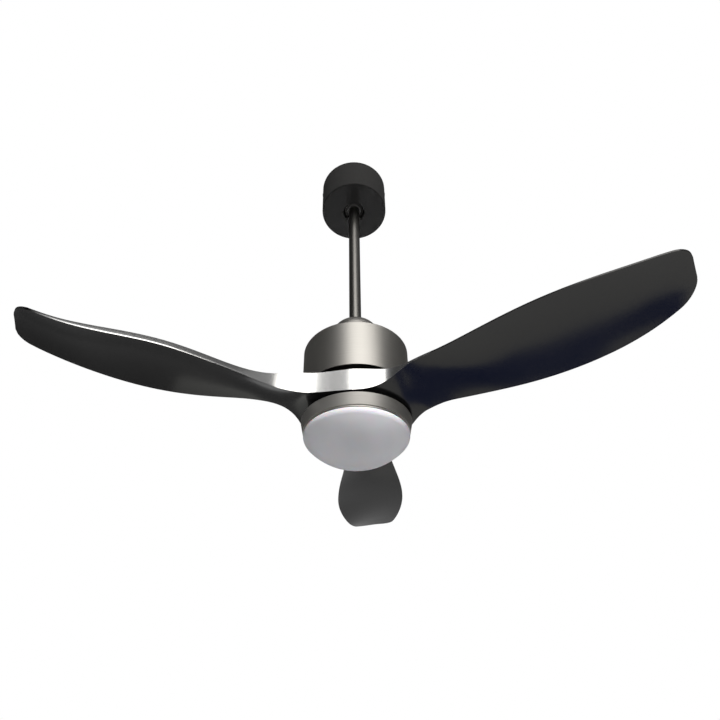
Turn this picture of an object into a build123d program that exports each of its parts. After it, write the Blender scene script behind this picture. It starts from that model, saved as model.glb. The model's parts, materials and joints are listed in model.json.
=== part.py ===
from build123d import *
import math
import os

# Ceiling fan with light on a downrod.
# Millimetres, +Z up, origin on the ceiling in the middle of the hanger bracket.

# Fits
slip_fit = 0.05
pin_fit = 0.1
ball_clearance = 0.3
running_clearance = 0.05
air_gap = 0.8

# Canopy
canopy_radius = 81.0
canopy_height = 86.0
canopy_wall = 1.5
canopy_edge = 3.0
canopy_hole_radius = 27.0
ceiling_gap = 1.0
canopy_screw_drop = 14.0
canopy_screw_head = 0.8

# Hanger bracket
bracket_sheet = 2.5
bracket_width = 44.0
ear_width = 20.0
ear_drop = 24.0
ear_clearance = 0.3
box_slot_spacing = 88.9
box_slot_length = 14.0
box_slot_width = 5.6
seat_wall = 3.0
seat_upper_angle = 10.0
seat_lower_angle = 45.0
leg_width = 30.0
leg_standoff = 4.0
seat_tab_width = 6.0
seat_tab_reach = 3.5
lip_width = 16.0
lip_reach = 5.0

# Remote receiver
receiver_width = 36.0
receiver_height = 19.0
receiver_corner = 4.0
receiver_end_gap = 1.0

# Hanger ball and downrod
ball_radius = 28.0
ball_drop = 58.0
ball_cap = 16.0
ball_base = 22.0
ball_pin_radius = 3.0
ball_pin_length = 44.0
ball_pin_height = 13.0
ball_groove_depth = 8.0
ball_groove_play = 1.0
ball_screw_radius = 2.5
ball_screw_length = 10.0
ball_screw_height = 4.0
rod_radius = 13.35
rod_wall = 2.9
rod_visible = 393.0
rod_above_ball = 22.0

# Coupling cover
cover_radius = 54.0
cover_height = 84.0
cover_wall = 1.5
cover_crown_radius = 24.0
cover_shoulder = 36.0
cover_rod_gap = 0.6

# Motor collar
collar_radius = 20.0
collar_below_cover = 12.0
rod_engagement = 42.0
collar_flange_radius = 42.0
collar_flange = 4.0
clevis_radius = 3.2
clevis_drop = 26.0
clevis_head = 2.5
clevis_tail = 10.0
clip_wire_radius = 0.9
clip_reach = 10.0
collar_screw_drop = 10.0

# Motor housing
housing_radius = 110.0
housing_height = 107.0
housing_wall = 1.5
housing_edge = 3.0
housing_screw_circle = 34.0
housing_screw_count = 4
housing_screw_start = 45.0
housing_hole_gap = 0.3

# Motor
shaft_radius = 10.0
shaft_wall = 3.5
bearing_radius = 21.0
bearing_width = 12.0
bearing_wall = 5.0
bearing_lip = 2.0
shield_recess = 0.8
rotor_headroom = 44.0
case_wall = 4.0
case_plate = 4.0
case_rim = 2.0
case_shaft_gap = 4.0
rotor_flange_radius = 98.0
rotor_flange = 8.0
stator_radius = 76.0
stator_stack = 20.0
stator_yoke = 40.0
tooth_count = 12
tooth_width = 13.0
tooth_tip = 5.0
slot_opening = 3.0
coil_side = 4.5
coil_fit = 0.2
coil_end_gap = 3.0
magnet_thickness = 5.0
magnet_count = 10
magnet_share = 0.86
magnet_overhang = 2.0
case_screw_count = 4
case_screw_boss = 6.0
case_boss_height = 10.0
case_screw_start = 45.0

# Blades and their hub
fan_radius = 610.0
blade_count = 3
first_blade_angle = 85.6
hub_radius = 110.0
hub_height = 47.5
hub_gap = 12.0
hub_bore_radius = 30.0
blade_screw_circle = 66.0
blade_screw_count = 3
blade_screw_spread = 72.0
blade_screw_grip = 17.0
blade_camber = 3.0
camber_start = 0.3
belly_depth = 5.0
belly_start = 0.12
belly_end = 0.89
trailing_slant = 16.0
slant_start = 0.2
slant_full = 0.34
counterbore_gap = 0.7
tip_trailing_radius = 42.0
tip_leading_radius = 34.0
tip_margin = 0.1

# Light
light_gap = 5.0
ring_top_radius = 110.4
ring_draft = 5.4
ring_height = 27.5
ring_wall = 2.5
ring_lip = 2.0
ring_lip_width = 18.0
ring_groove = 3.5
ring_groove_depth = 1.2
plate_thickness = 2.0
plate_edge_gap = 1.0
nut_flats = 30.0
nut_height = 8.0
shaft_tail = 2.0
ring_screw_count = 3
ring_screw_start = 30.0
bayonet_count = 3
bayonet_tab = 2.0
bayonet_tab_angle = 30.0
bayonet_lug_angle = 20.0
bayonet_lug = 2.5
bayonet_tab_reach = 4.5
bayonet_height = 6.0
bayonet_clearance = 0.3
lens_inset = 0.5
lens_gap = 1.0
lens_rim = 8.0
lens_depth = 50.0
lens_corner = 14.0
lens_edge = 2.0
lens_wall = 2.5
lens_collar_wall = 2.0
driver_length = 60.0
driver_width = 34.0
driver_height = 13.0
driver_edge_gap = 20.0
driver_corner = 3.0
standoff_radius = 4.0
standoff_height = 16.0
standoff_inset = 14.0
standoff_count = 3
standoff_start = 60.0
board_edge_gap = 15.0
board_thickness = 1.5
chip_size = 5.0
chip_height = 1.0
chip_ring_count = 3
first_ring_count = 6

# Screw sizes: shank radius, head radius, head height
small_screw = (1.5, 3.0, 1.6)
medium_screw = (2.0, 4.0, 2.2)
large_screw = (2.5, 4.8, 2.8)

# Levels, from the ceiling down
z_ball = -ball_drop
z_canopy_top = -ceiling_gap
z_canopy_bottom = z_canopy_top - canopy_height
z_cover_top = z_canopy_bottom - rod_visible
z_housing_top = z_cover_top - cover_height
z_housing_bottom = z_housing_top - housing_height
z_hub_top = z_housing_bottom - hub_gap
z_hub_bottom = z_hub_top - hub_height
z_ring_top = z_hub_bottom - light_gap
z_ring_bottom = z_ring_top - ring_height
z_lens_top = z_ring_bottom - lens_gap
z_collar_top = z_cover_top - collar_below_cover
z_rod_bottom = z_collar_top - rod_engagement
z_collar_flange = z_housing_top - housing_wall
z_collar_bottom = z_collar_flange - collar_flange
z_case_top = z_collar_bottom - rotor_headroom
z_case_middle = (z_case_top + z_hub_top) / 2
z_plate_top = z_ring_top - ring_lip
z_plate_bottom = z_plate_top - plate_thickness
z_board_top = z_plate_bottom - standoff_height
z_board_bottom = z_board_top - board_thickness

seat_radius = ball_radius + ball_clearance
leg_inside = seat_radius + seat_wall + leg_standoff
leg_outside = leg_inside + bracket_sheet
canopy_inside = canopy_radius - canopy_wall
ear_outside = math.sqrt(canopy_inside**2 - (ear_width / 2) ** 2) - ear_clearance
case_inside = stator_radius + air_gap + magnet_thickness + slip_fit
case_radius = case_inside + case_wall
case_screw_circle = case_radius + case_screw_boss - case_wall / 2
z_clevis = z_collar_top - clevis_drop
z_shaft_bottom = z_plate_bottom - nut_height - shaft_tail
clip_x = collar_radius + clevis_tail / 2
ring_bottom_radius = ring_top_radius - ring_draft
ring_taper = ring_draft / ring_height
ring_inside = ring_top_radius - ring_wall
ring_foot_inside = ring_bottom_radius - ring_wall
ring_screw_circle = ring_top_radius - ring_lip_width + 2 * small_screw[1]
plate_radius = ring_inside - ring_taper * (ring_lip + plate_thickness) - plate_edge_gap
z_tab = z_ring_bottom + bayonet_height
tab_inside = ring_foot_inside - bayonet_tab_reach
z_lug = z_tab + bayonet_tab + bayonet_clearance
lens_radius = ring_bottom_radius - lens_inset
lens_collar_radius = tab_inside - bayonet_clearance
lens_collar_inside = lens_collar_radius - lens_collar_wall
board_radius = lens_collar_inside - board_edge_gap
standoff_circle = board_radius - standoff_inset
driver_offset = plate_radius - driver_edge_gap - driver_length / 2
blade_angles = [first_blade_angle + 360 / blade_count * index for index in range(blade_count)]
blade_screw_start = -blade_screw_spread / 2
blade_screw_step = blade_screw_spread / (blade_screw_count - 1)
blade_screw_angles = [
    blade_angle + blade_screw_start + blade_screw_step * index
    for blade_angle in blade_angles
    for index in range(blade_screw_count)
]
blade_screw_places = [
    (blade_screw_circle * math.cos(math.radians(angle)), blade_screw_circle * math.sin(math.radians(angle)))
    for angle in blade_screw_angles
]

upward = (Align.CENTER, Align.CENTER, Align.MIN)
downward = (Align.CENTER, Align.CENTER, Align.MAX)


def screw(size, length):
    """Screw along Z with its head on top of the XY plane."""
    shank_radius, head_radius, head_height = size
    with BuildPart() as piece:
        Cylinder(shank_radius, length, align=downward)
        Cylinder(head_radius, head_height, align=upward)
        top_edge = piece.edges().filter_by(GeomType.CIRCLE).sort_by(Axis.Z)[-1]
        chamfer(top_edge, head_height / 3)
        with BuildSketch(Plane.XY.offset(head_height)):
            RegularPolygon(head_radius / 2, 6)
        extrude(amount=-head_height / 2, mode=Mode.SUBTRACT)
    return piece.part


def ring_sectors(inner, outer, sector_angle, count, start):
    """Evenly spaced sectors of a flat ring, drawn in the sketch that is open."""
    half_gap = math.radians(360 / count - sector_angle) / 2
    far = 2 * outer
    Circle(outer)
    Circle(inner, mode=Mode.SUBTRACT)
    with PolarLocations(0, count, start + 180 / count):
        corner = (far * math.cos(half_gap), far * math.sin(half_gap))
        Polygon((0, 0), (corner[0], -corner[1]), corner, align=None, mode=Mode.SUBTRACT)


# Hanger bracket: one stamping with two ears for the canopy and two legs down to the ball seat
with BuildPart() as hanger_bracket:
    with BuildSketch(Plane.XY.offset(-bracket_sheet)):
        Rectangle(2 * leg_outside, bracket_width)
        Rectangle(2 * ear_outside, ear_width)
        with GridLocations(box_slot_spacing, 0, 2, 1):
            SlotOverall(box_slot_length, box_slot_width, mode=Mode.SUBTRACT)
    extrude(amount=bracket_sheet)
    for side in (-1, 1):
        with Locations((side * (ear_outside - bracket_sheet / 2), 0, -ear_drop / 2)):
            Box(bracket_sheet, ear_width, ear_drop)
        leg_length = ball_drop + seat_radius * math.sin(math.radians(seat_upper_angle)) + seat_wall
        with Locations((side * (leg_inside + leg_outside) / 2, 0, -leg_length / 2)):
            Box(bracket_sheet, leg_width, leg_length)
        lip_x = side * (leg_inside - lip_reach / 2)
        with Locations((lip_x, 0, -1.5 * bracket_sheet - receiver_height)):
            Box(lip_reach, lip_width, bracket_sheet)
    with BuildSketch(Plane.XZ):
        with BuildLine():
            sweep_angle = seat_upper_angle - seat_lower_angle
            seat = CenterArc((0, z_ball), seat_radius, -seat_upper_angle, sweep_angle)
            back = CenterArc((0, z_ball), seat_radius + seat_wall, -seat_lower_angle, -sweep_angle / 2)
            flange_top = (seat @ 0).Y
            flange_bottom = -leg_length
            Line(seat @ 1, back @ 0)
            Polyline(
                back @ 1,
                (seat_radius + seat_wall, flange_bottom),
                (leg_outside, flange_bottom),
                (leg_outside, flange_top),
                seat @ 0,
            )
        make_face()
    revolve(axis=Axis.Z)
    entry_width = 2 * rod_radius + 2 * seat_wall
    with Locations((0, leg_outside, z_ball)):
        Box(entry_width, 2 * leg_outside, 2 * ball_radius, mode=Mode.SUBTRACT)
    tab_root = seat_radius + seat_wall / 2
    tab_length = seat_wall / 2 + seat_tab_reach
    with Locations((0, tab_length / 2 - tab_root, (flange_top + flange_bottom) / 2)):
        Box(seat_tab_width, tab_length, flange_top - flange_bottom)
    with Locations((0, 0, -canopy_screw_drop)):
        Cylinder(medium_screw[0] + pin_fit, 2 * canopy_radius, rotation=(0, 90, 0), mode=Mode.SUBTRACT)

# Canopy: deep drawn cup with an open top and a hole for the rod
with BuildPart() as canopy:
    with BuildSketch(Plane.XZ):
        with BuildLine():
            Polyline(
                (canopy_hole_radius, z_canopy_bottom),
                (canopy_radius, z_canopy_bottom),
                (canopy_radius, z_canopy_top),
                (canopy_inside, z_canopy_top),
                (canopy_inside, z_canopy_bottom + canopy_wall),
                (canopy_hole_radius, z_canopy_bottom + canopy_wall),
                close=True,
            )
        make_face()
    revolve(axis=Axis.Z)
    fillet(canopy.edges().group_by(Axis.Z)[0].sort_by(SortBy.RADIUS)[-1], canopy_edge)
    with Locations((0, 0, -canopy_screw_drop)):
        Cylinder(medium_screw[0] + pin_fit, 3 * canopy_radius, rotation=(0, 90, 0), mode=Mode.SUBTRACT)

# Canopy screws: one through each side into the bracket's ears
with BuildPart() as canopy_screws:
    low_head = (medium_screw[0], medium_screw[1], canopy_screw_head)
    canopy_screw = screw(low_head, canopy_radius - ear_outside + 2 * bracket_sheet)
    for side in (-1, 1):
        with Locations(Location((side * canopy_radius, 0, -canopy_screw_drop), (0, side * 90, 0))):
            add(canopy_screw)

# Remote receiver: lies on the bracket's lips under its top plate
with BuildPart() as receiver_box:
    with Locations((0, 0, -bracket_sheet - receiver_height / 2)):
        Box(2 * (leg_inside - receiver_end_gap), receiver_width, receiver_height)
    fillet(receiver_box.edges().filter_by(Axis.Z), receiver_corner)

# Hanger ball: bored for the rod, slotted for its pin and grooved for the seat's tab
with BuildPart() as hanger_ball:
    with Locations((0, 0, z_ball)):
        Sphere(ball_radius)
        Cylinder(rod_radius + slip_fit, 2 * ball_radius, mode=Mode.SUBTRACT)
    with Locations((0, 0, z_ball + (ball_cap - ball_base) / 2)):
        Box(2 * ball_radius, 2 * ball_radius, ball_cap + ball_base, mode=Mode.INTERSECT)
    pin_slot = ball_pin_radius + pin_fit
    with Locations((0, 0, z_ball + ball_pin_height)):
        Cylinder(pin_slot, 2 * ball_radius, rotation=(0, 90, 0), mode=Mode.SUBTRACT)
        Box(2 * ball_radius, 2 * pin_slot, 2 * ball_cap, align=upward, mode=Mode.SUBTRACT)
    with Locations((0, ball_groove_depth / 2 - ball_radius, z_ball)):
        Box(seat_tab_width + ball_groove_play, ball_groove_depth, 2 * ball_radius, mode=Mode.SUBTRACT)
    with Locations(Location((0, 0, z_ball + ball_screw_height), (-90, 0, 0))):
        Cylinder(ball_screw_radius + pin_fit, ball_radius, align=upward, mode=Mode.SUBTRACT)

# Ball pin: crosses the rod and lies in the ball's slot
with BuildPart() as ball_pin:
    with Locations((0, 0, z_ball + ball_pin_height)):
        Cylinder(ball_pin_radius, ball_pin_length, rotation=(0, 90, 0))
    chamfer(ball_pin.edges().filter_by(GeomType.CIRCLE), ball_pin_radius / 4)

# Ball set screw: bears on the rod
with BuildPart() as ball_set_screw:
    with Locations(Location((0, rod_radius, z_ball + ball_screw_height), (-90, 0, 0))):
        Cylinder(ball_screw_radius, ball_screw_length, align=upward)

# Downrod: pipe with a cross hole near each end
with BuildPart() as downrod:
    with BuildSketch(Plane.XY.offset(z_rod_bottom)):
        Circle(rod_radius)
        Circle(rod_radius - rod_wall, mode=Mode.SUBTRACT)
    extrude(amount=z_ball + rod_above_ball - z_rod_bottom)
    for level, radius in ((z_ball + ball_pin_height, ball_pin_radius), (z_clevis, clevis_radius)):
        with Locations((0, 0, level)):
            Cylinder(radius + pin_fit, 4 * rod_radius, rotation=(0, 90, 0), mode=Mode.SUBTRACT)

# Coupling cover: loose domed cup over the collar
with BuildPart() as coupling_cover:
    with BuildSketch(Plane.XZ):
        with BuildLine():
            centre = (cover_crown_radius, z_cover_top - cover_shoulder)
            across = cover_radius - cover_crown_radius
            hole = rod_radius + cover_rod_gap
            outer = EllipticalCenterArc(centre, across, cover_shoulder, 0, arc_size=90)
            inner = EllipticalCenterArc(
                centre, across - cover_wall, cover_shoulder - cover_wall, 0, arc_size=90
            )
            Polyline(
                outer @ 0,
                (cover_radius, z_housing_top),
                (cover_radius - cover_wall, z_housing_top),
                inner @ 0,
            )
            Polyline(outer @ 1, (hole, z_cover_top), (hole, z_cover_top - cover_wall), inner @ 1)
        make_face()
    revolve(axis=Axis.Z)

# Motor collar: takes the rod above and the motor shaft below, and carries the housing on its flange
with BuildPart() as motor_collar:
    with BuildSketch(Plane.XZ):
        with BuildLine():
            Polyline(
                (rod_radius + slip_fit, z_collar_top),
                (collar_radius, z_collar_top),
                (collar_radius, z_collar_flange),
                (collar_flange_radius, z_collar_flange),
                (collar_flange_radius, z_collar_bottom),
                (shaft_radius + slip_fit, z_collar_bottom),
                (shaft_radius + slip_fit, z_rod_bottom),
                (rod_radius + slip_fit, z_rod_bottom),
                close=True,
            )
        make_face()
    revolve(axis=Axis.Z)
    with Locations((0, 0, z_clevis)):
        Cylinder(clevis_radius + pin_fit, 4 * collar_radius, rotation=(0, 90, 0), mode=Mode.SUBTRACT)
    with Locations((0, 0, z_collar_top - collar_screw_drop)):
        Cylinder(medium_screw[0] + pin_fit, 4 * collar_radius, rotation=(90, 0, 0), mode=Mode.SUBTRACT)
    with Locations((0, 0, z_collar_bottom)):
        with PolarLocations(housing_screw_circle, housing_screw_count, housing_screw_start):
            Cylinder(large_screw[0] + pin_fit, collar_flange, align=upward, mode=Mode.SUBTRACT)

# Clevis pin through collar and rod, with a hole for its clip
with BuildPart() as clevis_pin:
    with Locations(Location((-collar_radius, 0, z_clevis), (0, 90, 0))):
        Cylinder(clevis_radius, 2 * collar_radius + clevis_tail, align=upward)
        Cylinder(clevis_radius + clevis_head, clevis_head, align=downward)
    with Locations((clip_x, 0, z_clevis)):
        Cylinder(clip_wire_radius + pin_fit, 4 * clevis_radius, mode=Mode.SUBTRACT)

# Hairpin clip: one leg through the pin, the other beside it
with BuildPart() as hairpin_clip:
    with BuildLine(Plane.YZ.offset(clip_x)) as clip_path:
        beside = -(clevis_radius + clip_wire_radius + 2 * pin_fit)
        bend_height = z_clevis + clip_reach
        through = Line((0, z_clevis - clip_reach), (0, bend_height))
        bend = CenterArc((beside / 2, bend_height), -beside / 2, 0, 180)
        Line(bend @ 1, (beside, z_clevis - clip_reach / 2))
    with BuildSketch(Plane(origin=through @ 0, z_dir=through % 0)):
        Circle(clip_wire_radius)
    sweep(path=clip_path.line)

# Collar screws: one on each side, bearing on the rod
with BuildPart() as collar_screws:
    collar_screw = screw(medium_screw, collar_radius - rod_radius)
    z_collar_screw = z_collar_top - collar_screw_drop
    for side in (-1, 1):
        with Locations(Location((0, side * collar_radius, z_collar_screw), (-side * 90, 0, 0))):
            add(collar_screw)

# Motor housing: plain drum, open below
with BuildPart() as motor_housing:
    with BuildSketch(Plane.XZ):
        with BuildLine():
            housing_hole = collar_radius + housing_hole_gap
            Polyline(
                (housing_hole, z_housing_top),
                (housing_radius, z_housing_top),
                (housing_radius, z_housing_bottom),
                (housing_radius - housing_wall, z_housing_bottom),
                (housing_radius - housing_wall, z_housing_top - housing_wall),
                (housing_hole, z_housing_top - housing_wall),
                close=True,
            )
        make_face()
    revolve(axis=Axis.Z)
    fillet(motor_housing.edges().group_by(Axis.Z)[-1].sort_by(SortBy.RADIUS)[-1], housing_edge)
    with Locations((0, 0, z_housing_top)):
        with PolarLocations(housing_screw_circle, housing_screw_count, housing_screw_start):
            Cylinder(large_screw[0] + pin_fit, 4 * housing_wall, mode=Mode.SUBTRACT)

# Housing screws: hold the housing on the collar's flange, hidden by the coupling cover
with BuildPart() as housing_screws:
    housing_screw = screw(large_screw, housing_wall + collar_flange)
    with Locations((0, 0, z_housing_top)):
        with PolarLocations(housing_screw_circle, housing_screw_count, housing_screw_start):
            add(housing_screw)

# Motor shaft: hollow and fixed, from the collar down through the hub to the light
with BuildPart() as motor_shaft:
    with BuildSketch(Plane.XY.offset(z_shaft_bottom)):
        Circle(shaft_radius)
        Circle(shaft_radius - shaft_wall, mode=Mode.SUBTRACT)
    extrude(amount=z_rod_bottom - z_shaft_bottom)

# Stator core: lamination stack with its teeth outwards
with BuildPart() as stator_core:
    tip_root = stator_radius - tooth_tip
    with BuildSketch(Plane.XY.offset(z_case_middle - stator_stack / 2)):
        tip_angle = 360 / tooth_count - math.degrees(slot_opening / stator_radius)
        ring_sectors(tip_root, stator_radius, tip_angle, tooth_count, 0)
        Circle(stator_yoke)
        with PolarLocations(tip_root / 2 + slip_fit, tooth_count):
            Rectangle(tip_root, tooth_width)
        Circle(shaft_radius + slip_fit, mode=Mode.SUBTRACT)
    extrude(amount=stator_stack)

# Stator windings: one coil on each tooth
with BuildPart() as stator_coil:
    coil_length = tip_root - stator_yoke - 2 * coil_end_gap
    coil_hole_width = tooth_width + 2 * coil_fit
    coil_hole_height = stator_stack + 2 * coil_fit
    with Locations(((tip_root + stator_yoke) / 2, 0, z_case_middle)):
        Box(coil_length, coil_hole_width + 2 * coil_side, coil_hole_height + 2 * coil_side)
        fillet(stator_coil.edges().filter_by(Axis.X), coil_side)
        Box(2 * coil_length, coil_hole_width, coil_hole_height, mode=Mode.SUBTRACT)
with BuildPart() as stator_windings:
    with PolarLocations(0, tooth_count):
        add(stator_coil.part)

# Rotor magnets: curved tiles around the stator
with BuildPart() as rotor_magnets:
    magnet_inside = stator_radius + air_gap
    with BuildSketch(Plane.XY.offset(z_case_middle - stator_stack / 2 - magnet_overhang)):
        magnet_angle = magnet_share * 360 / magnet_count
        ring_sectors(magnet_inside, magnet_inside + magnet_thickness, magnet_angle, magnet_count, 0)
    extrude(amount=stator_stack + 2 * magnet_overhang)


def bearing(z_bottom):
    """Shielded ball bearing around the shaft."""
    race = (bearing_radius - shaft_radius) / 3
    with BuildPart() as piece:
        with BuildSketch(Plane.XY.offset(z_bottom)):
            Circle(bearing_radius)
            Circle(shaft_radius + running_clearance, mode=Mode.SUBTRACT)
        extrude(amount=bearing_width)
        for face in (z_bottom, z_bottom + bearing_width - shield_recess):
            with BuildSketch(Plane.XY.offset(face)):
                Circle(bearing_radius - race)
                Circle(shaft_radius + race, mode=Mode.SUBTRACT)
            extrude(amount=shield_recess, mode=Mode.SUBTRACT)
    return piece


def rotor_case(z_outside, plate, flange_radius, direction):
    """Half of the rotor case: a cup with a bearing boss, opening towards the case's middle."""
    shaft_hole = shaft_radius + case_shaft_gap
    bearing_seat = bearing_radius + slip_fit
    boss = bearing_radius + bearing_wall
    z_plate = z_outside + direction * plate
    z_lip = z_outside + direction * bearing_lip
    z_boss = z_lip + direction * bearing_width
    with BuildPart() as piece:
        with BuildSketch(Plane.XZ):
            with BuildLine():
                Polyline(
                    (shaft_hole, z_outside),
                    (flange_radius, z_outside),
                    (flange_radius, z_plate),
                    (case_radius, z_plate),
                    (case_radius, z_case_middle),
                    (case_inside, z_case_middle),
                    (case_inside, z_plate),
                    (boss, z_plate),
                    (boss, z_boss),
                    (bearing_seat, z_boss),
                    (bearing_seat, z_lip),
                    (shaft_hole, z_lip),
                    close=True,
                )
            make_face()
        revolve(axis=Axis.Z)
        with BuildSketch(Plane.XY.offset(z_case_middle)):
            with PolarLocations(case_screw_circle, case_screw_count, case_screw_start):
                Circle(case_screw_boss)
            Circle(case_inside, mode=Mode.SUBTRACT)
        extrude(amount=-direction * case_boss_height)
        with Locations((0, 0, z_case_middle)):
            with PolarLocations(case_screw_circle, case_screw_count, case_screw_start):
                Cylinder(medium_screw[0] + pin_fit, 4 * case_boss_height, mode=Mode.SUBTRACT)
    return piece


upper_bearing = bearing(z_case_top - bearing_lip - bearing_width)
lower_bearing = bearing(z_hub_top + bearing_lip)
upper_rotor_case = rotor_case(z_case_top, case_plate, case_radius + case_rim, -1)

# The lower half has the flange that the blades are screwed to
with BuildPart() as lower_rotor_case:
    add(rotor_case(z_hub_top, rotor_flange, rotor_flange_radius, 1).part)
    with Locations((0, 0, z_hub_top)):
        with Locations(*blade_screw_places):
            Cylinder(large_screw[0] + pin_fit, 3 * rotor_flange, mode=Mode.SUBTRACT)

# Case screws: draw the two halves of the rotor case together
with BuildPart() as case_screws:
    case_screw = screw(medium_screw, 2 * case_boss_height)
    with Locations((0, 0, z_case_middle + case_boss_height)):
        with PolarLocations(case_screw_circle, case_screw_count, case_screw_start):
            add(case_screw)

# Blade: a twisted, hollow-bellied plate that thickens into its third of the hub.
# Each station: share of the span, reach of the trailing and the leading edge from the blade's axis,
# their lift over the hub's underside, and the height of the wall at each edge. Out along the blade
# the trailing wall leans in towards its top.
root_x = hub_radius * math.cos(math.pi / blade_count)
root_y = hub_radius * math.sin(math.pi / blade_count)
blade_stations = [
    (0.000, root_y, root_y, 0.0, 0.0, hub_height, hub_height),
    (0.015, 89.7, 89.8, 0.4, 0.6, hub_height - 0.4, hub_height - 0.6),
    (0.030, 83.6, 83.7, 1.0, 1.9, hub_height - 1.0, hub_height - 1.9),
    (0.045, 77.4, 77.4, 1.5, 4.3, hub_height - 1.5, hub_height - 4.3),
    (0.088, 60.5, 60.3, 2.5, 18.0, hub_height - 2.5, hub_height - 18.0),
    (0.135, 47.0, 56.0, 2.5, 32.0, hub_height - 2.5, 0.27 * hub_height),
    (0.175, 42.5, 58.0, 2.3, 38.0, 0.9 * hub_height, 0.1 * hub_height),
    (0.222, 41.0, 60.5, 2.0, 39.0, 0.727 * hub_height, 3.2),
    (0.281, 46.5, 64.0, 0.8, 36.5, 0.53 * hub_height, 3.0),
    (0.360, 57.0, 72.0, 0.2, 32.0, 16.5, 3.0),
    (0.477, 69.5, 84.0, -1.0, 27.5, 14.6, 3.0),
    (0.604, 76.0, 90.5, -1.0, 26.0, 14.6, 3.0),
    (0.748, 69.0, 86.0, -1.0, 27.0, 13.2, 3.0),
    (0.874, 56.0, 73.5, 7.0, 30.0, 7.9, 3.0),
    (0.930, 49.2, 66.2, 15.6, 32.8, 5.9, 3.0),
    (1.000, 39.2, 54.5, 28.5, 36.8, 4.5, 3.0),
]


def blade_section(share, trailing, leading, trailing_lift, leading_lift, trailing_wall, leading_wall):
    """Cross-section of a blade that points along X, at a share of its span."""
    low_trailing = Vector(trailing, z_hub_bottom + trailing_lift)
    low_leading = Vector(-leading, z_hub_bottom + leading_lift)
    slant_share = min(1.0, max(0.0, (share - slant_start) / (slant_full - slant_start)))
    lean = trailing_wall * math.tan(math.radians(trailing_slant)) * slant_share
    high_trailing = low_trailing + Vector(-lean, trailing_wall)
    high_leading = low_leading + Vector(0, leading_wall)
    rise = Vector(0, 2 * blade_camber * min(1.0, share / camber_start))
    run_in = min(1.0, max(0.0, (share - belly_start) / (camber_start - belly_start)))
    run_out = min(1.0, (1 - share) / (1 - belly_end))
    belly = Vector(0, 2 * belly_depth * run_in * run_out)
    with BuildSketch(Plane.YZ.offset(root_x + share * (fan_radius - root_x))) as section:
        with BuildLine():
            Bezier(low_leading, (low_leading + low_trailing) / 2 + rise + belly, low_trailing)
            Line(low_trailing, high_trailing)
            Bezier(high_trailing, (high_trailing + high_leading) / 2 + 2 * rise, high_leading)
            Line(high_leading, low_leading)
        make_face()
    return section.sketch


# Rounded outline of the tip, seen from above
inner_station, tip_station = blade_stations[-2:]
tip_x = root_x + inner_station[0] * (fan_radius - root_x)
with BuildSketch() as tip_outline:
    Polygon(
        (tip_x, inner_station[1] + tip_margin),
        (tip_x, -inner_station[2] - tip_margin),
        (fan_radius, -tip_station[2] - tip_margin),
        (fan_radius, tip_station[1] + tip_margin),
        align=None,
    )
    fillet(tip_outline.vertices().group_by(Axis.X)[-1].sort_by(Axis.Y)[0], tip_leading_radius)
    fillet(tip_outline.vertices().group_by(Axis.X)[-1].sort_by(Axis.Y)[-1], tip_trailing_radius)

with BuildPart() as blade:
    loft([blade_section(*station) for station in blade_stations])
    with BuildSketch(Plane.XY.offset(z_hub_bottom - hub_height)):
        with Locations((tip_x, 0)):
            Rectangle(fan_radius, 4 * hub_radius, align=(Align.MIN, Align.CENTER))
        add(tip_outline.sketch, mode=Mode.SUBTRACT)
    extrude(amount=3 * hub_height, mode=Mode.SUBTRACT)
    with BuildSketch(Plane.XY.offset(z_hub_bottom)):
        Polygon((0, 0), (root_x, -root_y), (root_x, root_y), align=None)
    extrude(amount=hub_height)
    with Locations((0, 0, z_hub_top)):
        Cylinder(rotor_flange_radius + pin_fit, hub_gap, align=upward, mode=Mode.SUBTRACT)
        Cylinder(hub_bore_radius, 3 * hub_height, mode=Mode.SUBTRACT)
        with PolarLocations(
            blade_screw_circle, blade_screw_count, blade_screw_start, blade_screw_spread, endpoint=True
        ):
            Cylinder(large_screw[0] + pin_fit, 3 * hub_height, mode=Mode.SUBTRACT)
            with Locations((0, 0, -blade_screw_grip)):
                Cylinder(large_screw[1] + counterbore_gap, hub_height, align=downward, mode=Mode.SUBTRACT)

# Blade screws: from below, deep in the hub, into the rotor's flange
with BuildPart() as blade_screws:
    blade_screw = screw(large_screw, blade_screw_grip + rotor_flange)
    with Locations((0, 0, z_hub_top - blade_screw_grip)):
        for place in blade_screw_places:
            with Locations(Location(place + (0,), (180, 0, 0))):
                add(blade_screw)

# Light plate: carried by the shaft between two nuts
with BuildPart() as light_plate:
    with BuildSketch(Plane.XY.offset(z_plate_bottom)):
        Circle(plate_radius)
        Circle(shaft_radius + slip_fit, mode=Mode.SUBTRACT)
        with PolarLocations(ring_screw_circle, ring_screw_count, ring_screw_start):
            Circle(small_screw[0] + pin_fit, mode=Mode.SUBTRACT)
    extrude(amount=plate_thickness)

# Plate nuts: one above and one below the plate
with BuildPart() as plate_nuts:
    for level in (z_plate_top, z_plate_bottom - nut_height):
        with BuildSketch(Plane.XY.offset(level)):
            RegularPolygon(nut_flats / 2, 6, major_radius=False)
            Circle(shaft_radius + slip_fit, mode=Mode.SUBTRACT)
        extrude(amount=nut_height)

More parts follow.
